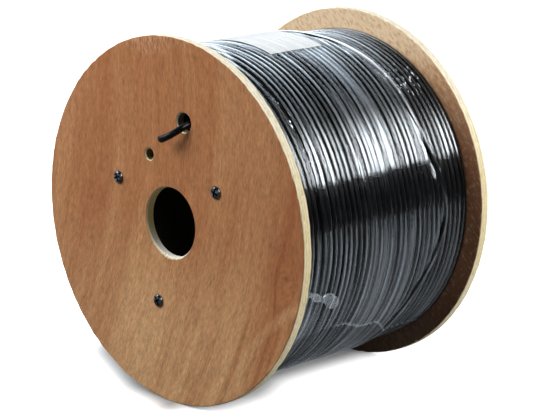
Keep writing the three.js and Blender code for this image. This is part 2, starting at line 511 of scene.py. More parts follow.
def outer_veneer(tree, settings, grain):
    """Red and tan streaks round a knot, paler low down and worn at the top."""
    x, _, z = tree.place()
    smooth = tree.smooth
    red, tan = settings.face_red, settings.face_tan
    low_right = smooth(x - z, -0.12, 0.22)
    thin_share = 0.15 + 0.35 * low_right
    red_streaks = smooth(grain.streak, 0.53, 0.66) * (0.3 + 0.5 * low_right)
    tan_streaks = smooth(grain.streak, 0.47, 0.34) * (0.2 + 0.4 * low_right)
    rings = tree.noise(grain.ring * 170, 5, 0)
    low = smooth(z, 0.02, -0.14) * smooth(x, 0.17, 0.06)
    right = smooth(x, 0.05, 0.13) * smooth(z, -0.12, 0.04)
    worn = smooth(z - abs(x + 0.04) * 0.3, 0.168, 0.19) * smooth(grain.fibre, 0.4, 0.65)
    # A pale figure that widens as it rises from the rim.
    rise = tree.math("MAXIMUM", z + 0.165, 0)
    curve = abs(x - 0.104 - rise * rise * 7.2) / (1 + rise * 9)
    pale = smooth(curve, 0.008, 0.001) * smooth(z, -0.035, -0.07)
    pale = pale * smooth(z, -0.178, -0.16) * smooth(grain.thin, 0.25, 0.6)
    face = tree.coats(
        settings.face,
        (smooth(grain.broad, 0.42, 0.66), tan),
        (tree.clamp(red_streaks + smooth(grain.thin, 0.56, 0.7) * thin_share), red),
        (tree.clamp(tan_streaks + smooth(grain.thin, 0.42, 0.3) * thin_share), tan),
        (smooth(grain.ring, 0.045, 0.02) * smooth(rings, 0.42, 0.7) * 0.4, red),
        (smooth(grain.ring, 0.0045, 0.001) * 0.5, srgb(112, 58, 38)),
        (low * (0.5 + 0.4 * smooth(grain.streak, 0.62, 0.4)), srgb(200, 158, 114)),
        (smooth(x, -0.05, -0.13) * 0.3, red),
        (right * 0.4, red),
        (pale * 0.55, srgb(204, 162, 118)),
        (worn * 0.5, srgb(208, 174, 140)),
        (grain.pores * 0.25, scaled(red, 0.5)),
    )
    shade = grain.fibre * 1.3 + grain.mottle * 0.9 - 0.06
    return tree.mix(1, face, tree.vector(shade, shade, shade), "MULTIPLY")


def inner_veneer(tree, settings, grain):
    """Paler and flecked, with painted light at the top, and painted shade towards the right and
    low down.
    """
    x, _, z = tree.place()
    smooth = tree.smooth
    slant = tree.noise((x + z) * 300, 8, (x - z) * 30, detail=3, roughness=0.65)
    flecks = tree.noise((x + z) * 240, 9, (x - z) * 90, detail=4, roughness=0.7)
    painted_shade_right = smooth(x, 0.06, 0.16) * smooth(z, 0.17, 0.04)
    return tree.coats(
        settings.inside,
        (smooth(grain.broad, 0.4, 0.62) * 0.35, settings.face_tan),
        (smooth(grain.fleck, 0.42, 0.75) * 0.55, settings.face_tan),
        (smooth(grain.thin, 0.5, 0.7) * 0.3, settings.face),
        (smooth(slant, 0.42, 0.66) * 0.6, settings.face_red),
        (smooth(slant, 0.42, 0.3) * 0.5, srgb(236, 208, 172)),
        # Paler towards the top: painted light.
        (smooth(z, 0.13, 0.18) * 0.7, srgb(242, 218, 182)),
        # Darker and redder towards the right: painted shade.
        (painted_shade_right * 0.9, srgb(138, 86, 54)),
        (smooth(flecks, 0.5, 0.6) * 0.4, srgb(166, 100, 58)),
        (smooth(flecks, 0.47, 0.38) * 0.35, srgb(240, 204, 164)),
        # Dark low down: painted shade.
        (smooth(z, -0.05, -0.15) * 0.75, srgb(60, 32, 21)),
    )


def plies(tree, settings, depth):
    """The plies on edge: their colour, their depth as it wavers, and their relief."""
    x, y, z = tree.place()
    smooth = tree.smooth
    arc, _ = tree.round_the_axis(flange_radius)
    level = depth + (tree.noise(arc * 18, y * 30, 0) - 0.5) * 0.0006
    edge = tree.noise(arc * 160, y * 1500, 0, detail=4, roughness=0.7)
    dots = tree.noise(arc * 420, y * 900, 3, roughness=0.6)
    blotch = tree.noise(arc * 90, y * 260, 8, detail=3, roughness=0.6)
    ply = (flange_thickness - 2 * settings.veneer) / 3
    glue_share = smooth(edge, 0.34, 0.58) * 0.75
    glue_lines = [
        (smooth(abs(level - (settings.veneer + number * ply)), 0.00042, 0.0001) * glue_share,
         settings.glue)
        for number in range(4)
    ]
    middle = smooth(abs(level - flange_thickness / 2), ply * 1.1, ply * 0.5)
    voids = middle * smooth(dots, 0.62, 0.7)
    core = tree.coats(
        settings.core,
        # Near white towards the top: painted light. Darker at mid height.
        (smooth(z, 0.06, 0.16) * 0.7, srgb(252, 251, 234)),
        (smooth(abs(z), 0.09, 0.03) * 0.5, srgb(212, 198, 150)),
        (smooth(edge, 0.38, 0.7) * 0.5, settings.face_tan),
        *glue_lines,
        (smooth(blotch, 0.5, 0.68) * 0.5, srgb(190, 170, 106)),
        (voids * 0.7, scaled(settings.glue, 0.4)),
    )
    # The plies in the holes differ from those at the rim: near white low in the bore is painted
    # light, and the dark olive in the smaller holes is painted shade.
    reach = tree.math("SQRT", x * x + z * z)
    bored = smooth(reach, 0.19, 0.185) * smooth(depth, 0.0012, 0.002)
    bore_with_painted_light = tree.mix(smooth(z, -0.008, -0.034), srgb(238, 216, 156), srgb(255, 254, 246))
    bore_with_painted_light = tree.mix(smooth(dots, 0.5, 0.62) * 0.6, bore_with_painted_light, srgb(150, 126, 72))
    holes_painted_light_and_shade = tree.mix(smooth(reach, 0.05, 0.045), srgb(104, 88, 50), bore_with_painted_light)
    return tree.mix(bored * 0.9, core, holes_painted_light_and_shade), level, edge * 0.3 - voids


def plywood(name, settings, outer):
    """Veneered faces and plies along the rim and in the holes. outer is the outer face."""
    tree = material_tree(name)
    _, y, _ = tree.place()
    grain = veneer_grain(tree, settings)
    core, level, relief = plies(tree, settings, abs(y - outer))
    thick, thin = settings.veneer * 1.1, settings.veneer * 0.9
    near_outer = tree.smooth(level, thick, thin)
    near_inner = tree.smooth(level, flange_thickness - thick, flange_thickness - thin)
    base = tree.mix(near_outer, core, outer_veneer(tree, settings, grain))
    return tree.finish({
        "Base Color": tree.mix(near_inner, base, inner_veneer(tree, settings, grain)),
        "Roughness": 0.58 + 0.14 * grain.fibre,
        "Specular IOR Level": 0.2,
        "Normal": tree.bump((grain.fibre - grain.pores) * 0.5 + relief, 0.0002, 0.5),
    })


def wound_board():
    """Grey-brown board wound in a spiral."""
    tree = material_tree("wound_board")
    arc, y = tree.round_the_axis(barrel_radius)
    lap = tree.math("FRACT", (arc * 0.35 + y) / 0.09)
    seam = tree.smooth(abs(lap - 0.5), 0.02, 0.006)
    felt = tree.noise(arc * 300, y * 300, 0, detail=4, roughness=0.7)
    base = tree.mix(tree.smooth(felt, 0.3, 0.7), srgb(40, 34, 28), srgb(60, 52, 42))
    return tree.finish({
        "Base Color": tree.mix(seam * 0.7, base, srgb(24, 20, 16)),
        "Roughness": 0.8 + 0.1 * felt,
        "Normal": tree.bump(felt - seam, 0.0003, 0.6),
    })


def cable_jacket(settings, rough=0.12, sheen=0.22):
    """Smooth black plastic with a little rubbing and dust."""
    tree = material_tree("cable_jacket")
    arc, y = tree.round_the_axis(winding_radius)
    rub = tree.noise(arc * 25, y * 260, 0, detail=4, roughness=0.6)
    grain = tree.noise(arc * 900, y * 900, 1)
    dusty = tree.smooth(rub, 0.45, 0.8)
    return tree.finish({
        "Base Color": tree.mix(dusty, settings.jacket, scaled(settings.jacket, 1.8)),
        "Roughness": rough + 0.1 * rub,
        "Specular IOR Level": sheen,
        "Normal": tree.bump(grain, 0.00003, 0.2),
    })


def clear_film(settings):
    """Clear film: mostly see-through, with a mirror's gloss at a share set by the angle."""
    tree = material_tree("clear_film")
    smooth = tree.smooth
    arc, y = tree.round_the_axis(film_radius)
    turn = arc * (1 / film_radius)
    place = y - front_inner
    streaks = tree.noise(arc * 3.5, y * 150, 9, roughness=0.6)
    pull = tree.noise(arc * 6, y * 420, 0, detail=1)
    crease = tree.noise(arc * 110, y * 300, 2, detail=1, distortion=1)
    patch = tree.noise(arc * 14, y * 22, 5)
    patches = smooth(patch, 0.5, 0.75)
    # The same from both sides, so that light also gets out through the film.
    facing = tree.node("ShaderNodeLayerWeight", {}, {"Blend": 0.5})["Facing"]
    gloss = (0.06 + 1.05 * facing**5) * (0.32 + 1.45 * smooth(streaks, 0.37, 0.65))
    # It puckers where it spans the gap near the front and the end of the last layer.
    front = smooth(abs(place - 0.033), 0.006, 0.002) * smooth(abs(turn - 0.7), 0.36, 0.2)
    back = smooth(abs(place - 0.228), 0.03, 0.018) * smooth(abs(turn - 0.88), 0.16, 0.08)
    pucker = tree.clamp(front + back) * smooth(crease, 0.62, 0.68)
    # The edge of its outer layer wanders across the turns low down.
    edge = turn + 0.6 + 0.09 * smooth(place, 0.09, 0.15) + 0.21 * smooth(place, 0.15, 0.22)
    edge = edge + (patch - 0.5) * 0.12
    gloss = gloss * (1 - 0.35 * smooth(edge, 0.01, -0.02))
    fold = smooth(abs(edge), 0.012, 0.004) * smooth(place, 0.07, 0.1) * smooth(turn, -1.1, -0.9)
    pucker = tree.clamp(pucker + 0.3 * fold)
    haze = patches * smooth(crease, 0.5, 0.8) * 0.03
    # The film's white from the mesh attribute is mostly painted highlight, along the last turn's
    # ridge and near the front flange, and partly the film's haze near its loose end.
    stretch = tree.node("ShaderNodeAttribute", {"attribute_name": "stretch"})["Fac"]
    gloss = gloss * (1 + tree.math("MINIMUM", stretch, 0))
    stretch = tree.math("MAXIMUM", stretch, 0)
    cover = tree.clamp(gloss + haze + (stretch * 0.85 + pucker * 0.6))
    height = pull * 0.25 + crease * (patches * 0.08 + pucker * 5)
    return tree.finish({
        "Base Color": (*settings.film, 1),
        "Metallic": (gloss + stretch * 0.25 + pucker * 0.6) / cover,
        "Roughness": 0.06 + 0.08 * patch + stretch * 0.3 + pucker * 0.3,
        "Alpha": cover,
        "Normal": tree.bump(height, 0.0002, 0.3),
    })


def label_paper(settings):
    """White paper with a faint fibre."""
    tree = material_tree("label_paper")
    x, y, z = tree.place()
    felt = tree.noise(x, y, z, scale=900, detail=3, roughness=0.6)
    cloud = tree.noise(x, y, z, scale=40)
    tone = tree.smooth(felt, 0.3, 0.7) * 0.5 + tree.smooth(cloud, 0.4, 0.7) * 0.5
    return tree.finish({
        "Base Color": tree.mix(tone, settings.paper, scaled(settings.paper, 0.93)),
        "Roughness": 0.5 + 0.2 * felt,
        "Normal": tree.bump(felt, 0.0001, 0.3),
    })


def metal(name, tint, rough, strokes, head=0):
    """Plated steel, a little uneven. With a head's height, its recess is painted black inside, as
    shade.
    """
    tree = material_tree(name)
    x, y, z = tree.place()
    cloud = tree.noise(x, y, z, scale=260, detail=3, roughness=0.6)
    fine = tree.noise(x * strokes, y, z, scale=1500)
    base = tree.mix(tree.smooth(cloud, 0.3, 0.75), tint, scaled(tint, 0.6))
    if head:
        across, _, up = tree.place("Generated")
        across, up = across - 0.5, up - 0.5
        dome = 1 - tree.math("SQRT", tree.clamp(1 - 4 * (across * across + up * up)))
        recess_painted_shade = y - front_face + head * (1 - 0.78 * dome)
        recess_painted_shade = tree.smooth(recess_painted_shade, 0.0001, 0.0004) * (y < front_face)
        # The recess is painted near black: painted shade.
        base = tree.mix(recess_painted_shade, base, scaled(tint, 0.02))
    return tree.finish({
        "Base Color": base,
        "Metallic": 1,
        "Roughness": rough + 0.2 * cloud,
        "Normal": tree.bump(fine + cloud, 0.0001, 0.4),
    })


# Flanges -----------------------------------------------------------------------------

def flange_blank(name, settings, outer, inner, seed):
    """The disc with its bore. Its rim is a little uneven and its edges are worn."""
    sides = 720
    angles = ring_angles(sides)
    inward = math.copysign(1, inner - outer)
    chip_size, dent_depth = 0.0009, 0.00012
    rough = waves(seed, angles, 4, 9, 90)
    chips = np.clip(waves(seed + 1, angles, 2, 20, 160) - 1.25, 0, 1) * chip_size
    edge = settings.edge_break * (1 + 0.35 * np.clip(rough[:2], -2, 2)) + chips
    dent = dent_depth * np.abs(rough[2:])
    bore = settings.spindle_radius
    hole = settings.hole_break
    # The bore's outer edge is torn low down.
    torn = 0.0012 + 0.0004 * np.clip(waves(seed + 2, angles, 1, 8, 60)[0], -1, 1)
    torn = hole + torn * hump(angles, -85, 70)
    rim = flange_radius - 0.00002
    rows = [
        (bore + torn, outer),
        (rim - edge[0], outer),
        (rim - dent[0], outer + inward * edge[0]),
        (rim - dent[1], inner - inward * edge[1]),
        (rim - edge[1], inner),
        (bore + hole, inner),
        (bore, inner - inward * hole),
        (bore, outer + inward * torn * 1.4),
    ]
    return turned_object(name, rows, sides)


def drill(settings, radius, place, outer, inner):
    """A tool that bores one hole and breaks both its edges."""
    low, high = min(outer, inner), max(outer, inner)
    past = 0.002
    wide = radius + settings.hole_break + past
    rows = [
        (wide, low - past),
        (radius, low + settings.hole_break),
        (radius, high - settings.hole_break),
        (wide, high + past),
    ]
    return turned_object("drill", rows, 64, place, capped=True)


def make_flange(node, settings, outer, inner, extra_holes, seed):
    """A disc with the bolts' holes and any extra ones, each a radius and a place."""
    name = node + "_plywood"
    blank = flange_blank(name, settings, outer, inner, seed)
    holes = [(settings.bolt_hole, middle_of(bolt)) for bolt in bolt_names] + extra_holes
    combine(blank, [drill(settings, radius, place, outer, inner) for radius, place in holes])
    finish_piece(blank, plywood(name, settings, outer), "plywood", node)


class CABLEDRUM_OT_flanges(bpy.types.Operator):
    """Build the two plywood flanges with their holes"""

    bl_idname = "cable_drum.flanges"
    bl_label = "Flanges"

    def execute(self, context):
        settings = context.scene.cable_drum.flange
        exit_hole = (settings.exit_radius, at(settings.exit_reach, settings.exit_angle))
        drive_hole = (settings.drive_radius, at(settings.drive_reach, settings.drive_angle))
        make_flange("flange_front", settings, front_face, front_inner, [exit_hole, drive_hole], 3)
        make_flange("flange_back", settings, back_face, back_inner, [], 8)
        return {"FINISHED"}


# Barrel ------------------------------------------------------------------------------

class CABLEDRUM_OT_barrel(bpy.types.Operator):
    """Build the board barrel that the cable is wound on"""

    bl_idname = "cable_drum.barrel"
    bl_label = "Barrel"

    def execute(self, context):
        wall = 0.005
        # Its ends stop at the flanges, which are drawn without their seats.
        gap = 0.0002
        front, back = front_inner + gap, back_inner - gap
        inside = barrel_radius - wall
        rows = [(barrel_radius, front), (barrel_radius, back), (inside, back), (inside, front)]
        tube = turned_object("barrel_board", rows, 160)
        finish_piece(tube, wound_board(), "core_board", "barrel")
        return {"FINISHED"}


# Cable -------------------------------------------------------------------------------

def layer_end(angles):
    """Where the outermost layer's last turn lies along the drum, round the axis.

    It wanders, because the layer isn't full: past it lies the layer below.
    """
    wander = {
        -90: 0.190, -60: 0.189, -41: 0.193, -25: 0.202, -12: 0.217, 0: 0.227, 10: 0.223,
        20: 0.215, 34: 0.208, 50: 0.206, 65: 0.200, 75: 0.193, 87: 0.182, 110: 0.175,
        150: 0.180, 210: 0.188,
    }
    degrees = np.arange(720) / 2
    places = read_off(wander, degrees, 360)
    # Its corners are rounded off over a few degrees.
    near = np.arange(-18, 19)
    soft = bell(near, 0, 8)
    places = sum(share * np.roll(places, step) for share, step in zip(soft / soft.sum(), near))
    return front_inner + np.interp(np.degrees(angles), degrees, places, period=360)


def turn_layout(settings, angles):
    """Where each turn of the outer layer lies: its middle and its crest's radius.

    The turns don't quite fill the drum, so the slack opens gaps between some of them,
    which close again further round.
    """
    turns = settings.turns
    slack = back_inner - front_inner - 2 * clearance - turns * settings.diameter
    loose = np.clip(waves(11, angles, turns + 1, 1, 5), 0, None) ** 2
    weight = 0.12 + 0.5 * loose
    weight[4] += 24 * hump(angles, 28, 66)
    weight[turns - 5] += 9 * hump(angles, 16, 30)
    weight[2] += 4 * hump(angles, 62, 30)
    gaps = slack * weight / weight.sum(axis=0)
    number = np.arange(turns)[:, None]
    middle = front_inner + clearance + np.cumsum(gaps[:turns], axis=0)
    middle = middle + (number + 0.5) * settings.diameter

    uneven = 0.00022 * np.clip(waves(12, angles, turns, 1, 7), -1.5, 1.5)
    uneven = uneven + 0.00005 * np.clip(waves(13, angles, turns, 10, 26), -1.5, 1.5)
    lower = smooth_step(middle - layer_end(angles) + settings.diameter, -0.002, 0.004)
    drop = lower * settings.end_drop * (0.62 + 0.38 * hump(angles, 100, 85))
    return middle, winding_radius - crest_drop + uneven - drop


def make_winding(settings):
    """One closed body: the outer layer's turns, the layers' edges and the bore."""
    sides = 240
    middle, crest = turn_layout(settings, ring_angles(sides))
    half = settings.diameter / 2
    rows = []
    for turn in range(settings.turns):
        for lay in np.radians(np.linspace(-80, 80, 9)):
            radius = crest[turn] - half + half * math.cos(lay)
            rows.append((radius, middle[turn] + half * math.sin(lay)))
        if turn < settings.turns - 1:
            gap = middle[turn + 1] - middle[turn] - settings.diameter
            valley = np.minimum(crest[turn], crest[turn + 1]) - half * 1.1
            between = (middle[turn] + middle[turn + 1]) / 2
            rows.append((valley - np.clip(gap, 0, 0.003), between))
    bore = barrel_radius + clearance
    step = (crest.min() - settings.diameter - bore) / (settings.layers - 1)
    relief = 0.0014
    back = middle[-1].mean() + half
    front = middle[0].mean() - half
    layers = [bore + layer * step for layer in range(1, settings.layers)]
    for top in reversed(layers):
        rows += [(top - step * 0.05, back - relief), (top - step / 2, back)]
    rows += [(bore, back - relief), (bore, front + relief)]
    for top in layers:
        rows += [(top - step / 2, front), (top - step * 0.05, front + relief)]
    return turned_object("cable_turns", rows, sides)


def make_last_turn(settings):
    """The last turn of the outermost layer, as a ring of cable along the layer's end."""
    around = ring_angles(420)
    across = ring_angles(20)[:, None]
    half = settings.diameter / 2 - jacket_inset
    sway = 0.0004
    ring = winding_radius - last_turn_drop - half - sway * (1 + np.sin(3 * around))
    along = layer_end(around) + half * np.sin(across)
    points = turned_points(ring + half * np.cos(across), along, around)
    return new_object("last_turn", points, grid_faces(len(across), len(around)))


class CABLEDRUM_OT_winding(bpy.types.Operator):
    """Build the cable wound on the barrel"""

    bl_idname = "cable_drum.winding"
    bl_label = "Cable Winding"

    def execute(self, context):
        settings = context.scene.cable_drum.cable
        jacket = cable_jacket(settings)
        winding = make_winding(settings)
        finish_piece(winding, jacket, "cable_jacket", "cable_winding", sharp=60)
        finish_piece(make_last_turn(settings), jacket, "cable_jacket", sharp=60)
        return {"FINISHED"}


def cubic(points, share):
    """A point on a cubic curve with four control points."""
    rest = 1 - share
    first, second, third, last = points
    return (rest**3 * first + 3 * rest**2 * share * second
            + 3 * rest * share**2 * third + share**3 * last)


def tail_route(flange, cable):
    """The cable's inner end: out of the exit hole, then bent to lie along the flange."""
    lean = flange.exit_radius - cable.diameter / 2 - 0.0006
    x, z = at(flange.exit_reach, flange.exit_angle)
    hole = Vector((x, 0, z))
    controls = [
        hole + Vector((lean, front_inner, 0)),
        hole + Vector((lean, front_face - 0.005, 0)),
        hole + Vector((0.0007, front_face - 0.0135, -0.0112)),
        hole + Vector((-0.022, front_face - 0.013, -0.019)),
    ]
    return [cubic(controls, step / 32) for step in range(33)]


def make_tail(cable, route):
    """A tube along the route, rounded off at its cut end round a sunk core."""
    sides = 24
    half = cable.diameter / 2 - jacket_inset
    rows = [(route[0], route[1] - route[0], half)]
    for before, here, after in zip(route, route[1:], route[2:]):
        rows.append((here, after - before, half))
    ahead = (route[-1] - route[-2]).normalized()
    # How far short of the end, and how much smaller than the cable.
    cut_end = ((0.0004, 0), (0.0001, 0.0003), (0, 0.0007), (0, 0.0012), (0.0005, 0.0014))
    rows += [(route[-1] - ahead * short, ahead, half - less) for short, less in cut_end]
    points = []
    side = Vector((0, 0, 1))
    for number, (place, direction, radius) in enumerate(rows):
        direction = direction.normalized()
        side = (side - direction * side.dot(direction)).normalized()
        other = direction.cross(side)
        # The cutters have pinched the end.
        pinch = 0.1 * smooth_step(number, 24, 31)
        for turn in ring_angles(sides):
            out = side * math.cos(turn) * (1 + pinch) + other * math.sin(turn) * (1 - pinch / 2)
            points.append(tuple(place + radius * out))
    return new_object("cable_end", points, tube_faces(len(rows), sides))


class CABLEDRUM_OT_tail(bpy.types.Operator):
    """Build the cable's inner end, out through the front flange"""

    bl_idname = "cable_drum.tail"
    bl_label = "Cable Tail"

    def execute(self, context):
        drum = context.scene.cable_drum
        route = tail_route(drum.flange, drum.cable)
        tail = make_tail(drum.cable, route)
        jacket = cable_jacket(drum.cable, rough=0.15, sheen=0.13)
        finish_piece(tail, jacket, "cable_jacket", "cable_tail", sharp=50)
        run = sum((b - a).length for a, b in zip(route, route[1:]))
        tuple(route[0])
        return {"FINISHED"}


# Label and film ----------------------------------------------------------------------

def envelope(cable, angles, along):
    """The radius over the turns' crests, at rows of places along the drum by angles."""
    middle, crest = turn_layout(cable, angles)
    columns = [np.interp(*column) for column in zip(along.T, middle.T, crest.T)]
    return np.stack(columns, axis=1)


def label_region():
    """The label's ends along the drum, and its first and last angle."""
    low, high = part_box("label")
    reach = math.hypot(high.x, high.z)
    return low.y, high.y, math.acos(high.x / reach), math.acos(low.x / reach)


def make_label(cable):
    """A sheet on the turns' crests: its upper side, its under side and its border."""
    low, high, start, stop = label_region()
    angles = np.linspace(start, stop, 41)
    along = np.repeat(np.linspace(low, high, 61)[:, None], len(angles), axis=1)
    crest = envelope(cable, angles, along)
    under_lift = 0.00005
    points = [turned_points(crest + lift, along, angles) for lift in (label_lift, under_lift)]
    top = np.array(grid_faces(*along.shape, close_rows=False, close_columns=False))
    corners = np.arange(along.size).reshape(along.shape)
    border = [corners[0], corners[1:, -1], corners[-1, -2::-1], corners[-2:0:-1, 0]]
    here = np.concatenate(border)
    after = np.roll(here, -1)
    edge = np.stack([here, after, after + along.size, here + along.size], axis=-1)
    faces = np.concatenate([top, top[:, ::-1] + along.size, edge])
    return new_object("label_sheet", np.concatenate(points), faces.tolist())


class CABLEDRUM_OT_label(bpy.types.Operator):
    """Build the bare paper label under the film"""

    bl_idname = "cable_drum.label"
    bl_label = "Label"

    def execute(self, context):
        drum = context.scene.cable_drum
        label = make_label(drum.cable)
        finish_piece(label, label_paper(drum.wrap), "label_paper", "label")
        return {"FINISHED"}


def set_film_white(obj, values):
    """Keeps how white the film is at each vertex: mostly painted highlight, partly the film's own
    haze near its loose end. Below 0 it is only less glossy.
    """
    layer = obj.data.attributes.new("stretch", "FLOAT", "POINT")
    layer.data.foreach_set("value", np.ascontiguousarray(values, np.float32).ravel())


def film_sag(cable, wrap, angles, middle):
    """How far the film dips in each gap, round the axis.

    It is pulled flatter over the middle turns, above all low down, and dips deepest past
    the end of the outermost layer.
    """
    turns = cable.turns
    sag = wrap.sag * (1 + 0.3 * np.clip(waves(21, angles, turns, 1, 9), -1.8, 0.8))
    uneven = np.clip(1 + 0.7 * waves(22, angles, turns, 0, 3), 0, 1.6)
    number = np.arange(turns)[:, None]
    low = hump(angles, -28, 46)
    end = layer_end(angles)
    flat = (
        bell(number, 18, 5) * (0.35 + 0.4 * low) * uneven
        + 0.3 * bell(number, 15, 6) * hump(angles, 78, 26)
        + 0.8 * bell(number, 4, 3.5) * hump(angles, -38, 28)
        + 0.25 * uneven * low
        + 0.9 * bell(middle, end - 0.013, 0.009) * hump(angles, 82, 34)
    )
    past = smooth_step(middle + cable.diameter - end, 0, 0.004)
    flat = np.clip(flat, 0, 0.9) * (1 - past)
    return np.clip(sag * (1 - flat) * (1 + 0.6 * past), 0.0002, None)


def turn_surface(middle, crest, half, place):
    """The radius of a turn's surface at places along the drum."""
    reach = np.clip(half**2 - (place - middle) ** 2, 0, None)
    return crest - half + np.sqrt(reach)


def soft_max(first, second, blend):
    """The larger of two, with a rounded change of blend's size between them."""
    near = np.clip(blend - np.abs(first - second), 0, None) / blend
    return np.maximum(first, second) + near * near * blend / 4


def make_film(cable, wrap):
    """Film that follows the turns: tight on each crest, and bridging between two of them."""
    sides = 240
    half = cable.diameter / 2
    angles = ring_angles(sides)
    middle, crest = turn_layout(cable, angles)
    low, high, start, stop = label_region()
    sag = film_sag(cable, wrap, angles, middle)
    rounding = 0.0005
    # Places between two crests, closer together towards the middle of the gap.
    shares = (0, 0.25, 0.48, 0.67, 0.81, 0.92)
    rows = [(crest[0] + film_lift, front_inner + clearance)]
    for turn in range(cable.turns - 1):
        after = turn + 1
        space = middle[after] - middle[turn]
        dip = sag[turn] + 0.3 * (space - cable.diameter)
        for share in (*shares, 1, *(2 - np.array(shares[:0:-1]))):
            place = middle[turn] + space / 2 * share
            surface = np.maximum(
                turn_surface(middle[turn], crest[turn], half, place),
                turn_surface(middle[after], crest[after], half, place),
            )
            line = crest[turn] + (crest[after] - crest[turn]) * share / 2
            rows.append((soft_max(surface, line - dip, rounding) + film_lift, place))
    rows += [(crest[-1] + film_lift, end) for end in (middle[-1], back_inner - clearance)]
    radius, along = ring_rows(rows, sides)

    # Over the last turn, and down to the layer below on both sides of it.
    away = np.abs(along - layer_end(angles))
    edge, slope = 0.6 * half, 1.5
    drop = half - np.sqrt(np.clip(half**2 - np.minimum(away, edge) ** 2, 0, None))
    drop = drop + np.clip(away - edge, 0, None) * slope
    radius = np.maximum(radius, winding_radius - last_turn_drop + film_lift - drop)

    over_label = (
        smooth_step(along, low - 0.004, low - 0.001)
        * smooth_step(along, high + 0.004, high + 0.001)
        * smooth_step(angles, start - 0.03, start - 0.005)
        * smooth_step(angles, stop + 0.03, stop + 0.005)
    )
    bare = envelope(cable, angles, along) + label_lift + film_lift
    radius = radius + (np.maximum(bare, radius) - radius) * over_label
    faces = grid_faces(len(rows), sides, close_rows=False)
    film = new_object("film_wrap", turned_points(radius, along, angles), faces)
    set_film_white(film, film_white_and_dull(angles, along, over_label))
    return film


def film_white_and_dull(angles, along, over_label):
    """White on the last turn's ridge and in a streak near the front flange, both painted
    highlight, and in a few hazy streaks near the loose end. Duller past the last turn and over the
    label.
    """
    place = along - front_inner
    beside = along - layer_end(angles) + 0.0006
    low = hump(angles, -36, 44)
    degrees = np.degrees(angles)
    degrees = np.where(degrees > 180, degrees - 360, degrees)
    near = read_off({
        -60: 0.75, -20: 0.7, -8: 0.5, 0: 0.35, 12: 0.1, 22: 0.25, 29: 0.6, 35: 0.9,
        42: 0.9, 50: 0.7, 57: 0.3, 62: 0, 90: 0,
    }, degrees)
    far = read_off({
        -60: 0, 27: 0, 32: 0.5, 38: 0.95, 46: 0.95, 55: 0.9, 62: 0.7, 75: 0.2, 90: 0,
    }, degrees)
    gap = read_off({-10: 0.216, 2: 0.2125, 20: 0.209, 37: 0.2165, 50: 0.224}, degrees)
    past_end = near + (far - near) * smooth_step(place, 0.232, 0.244)
    before_end = smooth_step(place, 0.158, 0.172) * smooth_step(beside, 0, -0.002)
    dull = (
        past_end * smooth_step(beside, 0.0008, 0.004)
        + 0.35 * bell(place, 0.098, 0.018) * low
        + 0.4 * before_end * low
        + bell(place, gap, 0.0035) * hump(angles, 20, 26)
        + 0.9 * over_label
    )
    glare = read_off({60: 0.0175, 66: 0.023, 71: 0.028, 78: 0.038, 90: 0.05}, degrees)
    wide = read_off({60: 0.0012, 80: 0.004}, degrees)
    haze = 0.1 + 0.08 * np.sin(place * 1600 + 3 * np.sin(angles * 40))
    # The ridge and the streak near the front flange are painted highlight; the third is the film's
    # haze near its loose end.
    white = np.max([
        bell(beside, 0, 0.003) * hump(angles, 76, 42),
        bell(place, glare, wide) * hump(angles, 82, 22) * 0.7,
        bell(place, 0.032, 0.014) * hump(angles, -30, 13) * haze,
    ], axis=0)
    return np.where(white > 0.03, white, 0) - np.clip(dull, 0, 0.95) * (1 - white)


def make_scrap():
    """The film's loose end, crumpled on the turns next to the front flange."""
    columns, rows = 90, 24
    # Its upper and lower border: degrees round the axis at millimetres along the drum.
    upper = {12: -13.8, 22: -15, 28.6: -15.6, 34.7: -16.6, 39.8: -17.4, 42.3: -16.9, 45.8: -16.7,
             51.3: -17, 55.6: -17.6, 61.6: -19, 68: -21.2}
    lower = {12: -15.5, 21.6: -16.7, 29.4: -18.8, 34.9: -19.4, 38.3: -19.2, 45.1: -20.3,
             50.4: -22, 56.9: -23.4, 63.6: -23.6, 68: -22.6}
    along = np.linspace(0.012, 0.068, columns)
    top, bottom = (read_off(border, along * 1000) for border in (upper, lower))
    share = np.linspace(0, 1, rows)[:, None]
    angles = np.radians(top + (bottom - top) * share)
    folds = (
        bell(np.sin(along * 560 + 3.1 * share + 2 * np.sin(share * 5)), 0, 0.3)
        + bell(np.sin(along * 330 - 5 * share + 1.7), 0, 0.22)
        + 0.7 * bell(np.sin(along * 190 + 7 * share + 0.4), 0, 0.2)
    )
    border = 1 - np.minimum(np.minimum(share, 1 - share) * 9, 1)
    lift, fold_height = 0.0004, 0.0006
    radius = film_radius + lift + fold_height * np.clip(folds, 0, 1.5) * (1 - border)
    place = front_inner + along + 0.0004 * np.sin(share * 23 + along * 300)
    faces = grid_faces(rows, columns, close_rows=False, close_columns=False)
    scrap = new_object("film_end", turned_points(radius, place, angles), faces)
    # A little white all over for the crumpled film's haze, and whiter on its folds and edges as
    # painted highlight.
    set_film_white(scrap, 0.06 + 0.17 * np.clip(folds, 0, 1.3) + 0.15 * border)
    return scrap


class CABLEDRUM_OT_film(bpy.types.Operator):
    """Build the stretch film round the winding"""

    bl_idname = "cable_drum.film"
    bl_label = "Stretch Film"

    def execute(self, context):
        drum = context.scene.cable_drum
        clear = clear_film(drum.wrap)
        film = make_film(drum.cable, drum.wrap)
        finish_piece(film, clear, "clear_film", "stretch_film", sharp=80)
        finish_piece(make_scrap(), clear, "clear_film", sharp=80)
        return {"FINISHED"}


# Bolts, washers and nuts -------------------------------------------------------------

